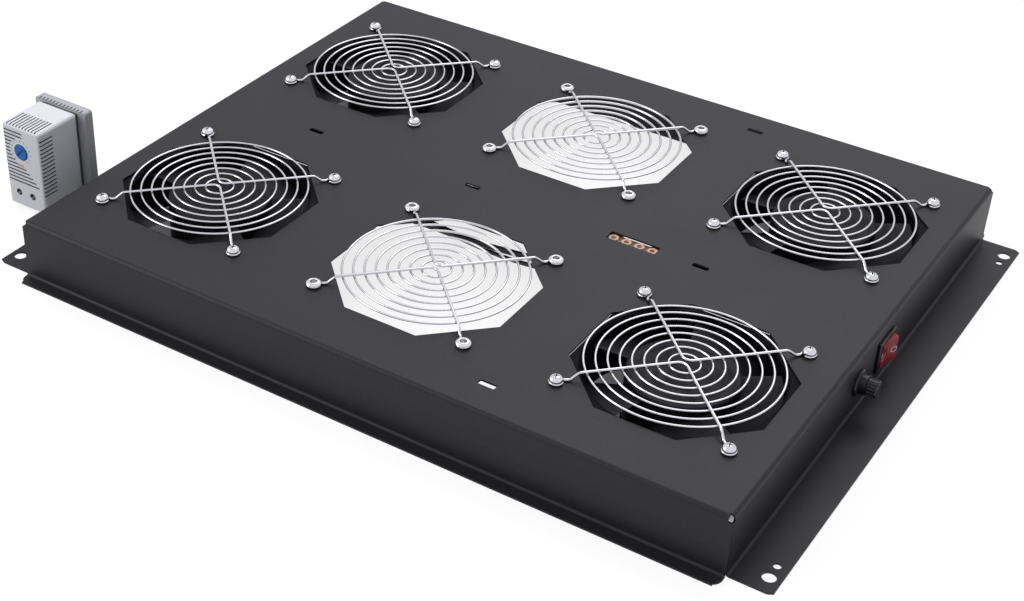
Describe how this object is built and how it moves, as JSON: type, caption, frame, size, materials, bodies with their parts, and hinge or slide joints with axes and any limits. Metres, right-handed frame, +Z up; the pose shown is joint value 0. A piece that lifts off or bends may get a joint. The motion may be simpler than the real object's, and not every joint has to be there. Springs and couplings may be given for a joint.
{
  "type": "rack fan tray",
  "caption": "Folded sheet-metal cabinet fan tray with axial fans under wire guards, guarded spare bays, rocker switch, fuse holder and a loose rail-mount thermostat.",
  "frame": {"origin": "centre of the tray in the plane of its flange undersides, the middle of the cabinet fixing holes", "axes": "+X along the tray's long side towards the switch, +Y to the rear, +Z up"},
  "size_m": [0.5865, 0.42, 0.0645],
  "materials": {
    "black_powder_coat": "fine textured powder coat",
    "chromed_wire": "bright plated wire",
    "black_cast_aluminium": "black lacquered casting",
    "black_plastic": "moulded, fine satin",
    "sintered_bronze": "dull",
    "nickel_screw": "bright nickel plated",
    "rivet_steel": "bright zinc plated",
    "stator_steel": "varnished laminations",
    "red_rocker": "satin gloss",
    "tinned_brass": "tinned",
    "fuse_glass": "clear with plated ends",
    "beige_plastic": "moulded",
    "black_rubber": "satin",
    "light_grey_plastic": "moulded, fine satin",
    "mid_grey_plastic": "moulded, fine satin",
    "blue_plastic": "satin gloss"
  },
  "bodies": {
    "tray": {"earth_nut": "nickel_screw", "earth_stud": "nickel_screw", "fan_bearings": "sintered_bronze", "fan_frame_front_left": "black_cast_aluminium", "fan_frame_front_right": "black_cast_aluminium", "fan_frame_rear_left": "black_cast_aluminium", "fan_frame_rear_right": "black_cast_aluminium", "fan_leads": "black_rubber", "fan_nuts": "nickel_screw", "fan_screws": "nickel_screw", "fan_stator_front_left": "stator_steel", "fan_stator_front_right": "stator_steel", "fan_stator_rear_left": "stator_steel", "fan_stator_rear_right": "stator_steel", "finger_guard_front_left": "chromed_wire", "finger_guard_front_middle": "chromed_wire", "finger_guard_front_right": "chromed_wire", "finger_guard_rear_left": "chromed_wire", "finger_guard_rear_middle": "chromed_wire", "finger_guard_rear_right": "chromed_wire", "fuse_holder_body": "black_plastic", "fuse_holder_nut": "black_plastic", "guard_rivets": "rivet_steel", "guard_wires_front_left": "chromed_wire", "guard_wires_front_middle": "chromed_wire", "guard_wires_front_right": "chromed_wire", "guard_wires_rear_left": "chromed_wire", "guard_wires_rear_middle": "chromed_wire", "guard_wires_rear_right": "chromed_wire", "lead_grommet": "black_rubber", "mains_gland": "black_plastic", "mains_gland_nut": "black_plastic", "supply_leads": "black_rubber", "switch_housing": "black_plastic", "switch_terminals": "tinned_brass", "terminal_block": "beige_plastic", "terminal_block_screws": "nickel_screw", "thermostat_base": "mid_grey_plastic", "thermostat_housing": "light_grey_plastic", "thermostat_lead_1": "black_rubber", "thermostat_lead_2": "black_rubber", "thermostat_screws": "nickel_screw", "thermostat_tail": "black_rubber", "tray_panel": "black_powder_coat"},
    "rocker": {"switch_rocker": "red_rocker"},
    "fuse_drawer": {"fuse_carrier": "black_plastic", "fuse_link": "fuse_glass"},
    "fuse_cap": {"fuse_cap": "black_plastic"},
    "dial": {"thermostat_dial": "blue_plastic"},
    "rail_clip": {"thermostat_clip": "mid_grey_plastic"},
    "fan_wheel_front_left": {"fan_impeller_front_left": "black_plastic", "fan_shaft_front_left": "nickel_screw"},
    "fan_wheel_front_right": {"fan_impeller_front_right": "black_plastic", "fan_shaft_front_right": "nickel_screw"},
    "fan_wheel_rear_left": {"fan_impeller_rear_left": "black_plastic", "fan_shaft_rear_left": "nickel_screw"},
    "fan_wheel_rear_right": {"fan_impeller_rear_right": "black_plastic", "fan_shaft_rear_right": "nickel_screw"}
  },
  "joints": [
    {"name": "fan_spin_front_left", "type": "hinge", "parent": "tray", "child": "fan_wheel_front_left", "pos_m": [-0.1655, -0.099, 0.02], "axis": [0, 0, 1], "continuous": true},
    {"name": "fan_spin_front_right", "type": "hinge", "parent": "tray", "child": "fan_wheel_front_right", "pos_m": [0.1655, -0.099, 0.02], "axis": [0, 0, 1], "continuous": true},
    {"name": "fan_spin_rear_left", "type": "hinge", "parent": "tray", "child": "fan_wheel_rear_left", "pos_m": [-0.1655, 0.099, 0.02], "axis": [0, 0, 1], "continuous": true},
    {"name": "fan_spin_rear_right", "type": "hinge", "parent": "tray", "child": "fan_wheel_rear_right", "pos_m": [0.1655, 0.099, 0.02], "axis": [0, 0, 1], "continuous": true},
    {"name": "rocker_tilt", "type": "hinge", "parent": "tray", "child": "rocker", "pos_m": [0.2415, 0.012, 0.0205], "axis": [0, 0, 1], "range_deg": [0, 26]},
    {"name": "fuse_drawer_slide", "type": "slide", "parent": "tray", "child": "fuse_drawer", "axis": [1, 0, 0], "range_m": [0, 0.045]},
    {"name": "fuse_cap_turn", "type": "hinge", "parent": "fuse_drawer", "child": "fuse_cap", "pos_m": [0.25, -0.027, 0.0205], "axis": [1, 0, 0], "range_deg": [-60, 0]},
    {"name": "dial_turn", "type": "hinge", "parent": "tray", "child": "dial", "pos_m": [-0.2967, -0.142, 0.0455], "axis": [0, 1, 0], "range_deg": [-135, 135]},
    {"name": "rail_clip_slide", "type": "slide", "parent": "tray", "child": "rail_clip", "axis": [0, 0, -1], "range_m": [0, 0.003], "stiffness_N_per_m": 400}
  ]
}
